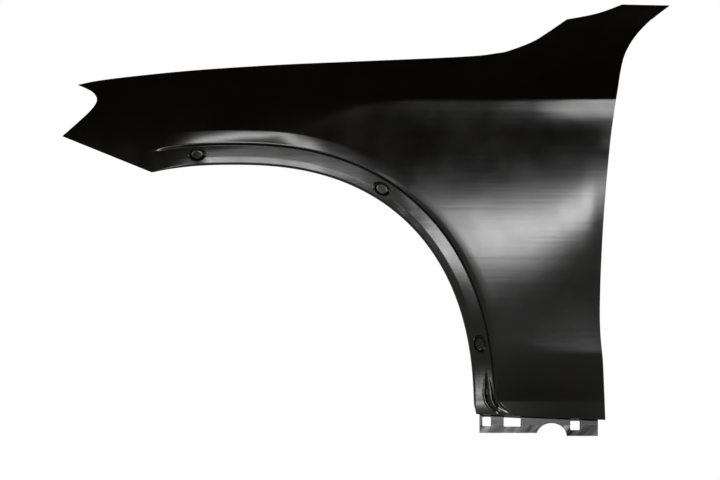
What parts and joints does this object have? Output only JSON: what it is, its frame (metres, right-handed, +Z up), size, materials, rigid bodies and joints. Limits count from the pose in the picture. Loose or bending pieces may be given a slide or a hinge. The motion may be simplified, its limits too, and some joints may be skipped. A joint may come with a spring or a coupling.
{
  "type": "car fender",
  "caption": "Left front car fender pressed from one steel sheet, with a wheel arch, shoulder crease, horn, hood-side ledge and slotted sill tab.",
  "frame": {"origin": "on the inner face of the sill tab, between its rectangular slot and its half-round notch", "axes": "+X to the rear of the car, +Y inboard and normal to the sill tab, +Z up, as the panel stands on the car"},
  "size_m": [1.0209, 0.2046, 0.7251],
  "materials": {
    "primed_steel": "semi-gloss black electro-dip primer on deep-drawn steel"
  },
  "bodies": {
    "root": {"fender_panel": "primed_steel"}
  },
  "joints": []
}
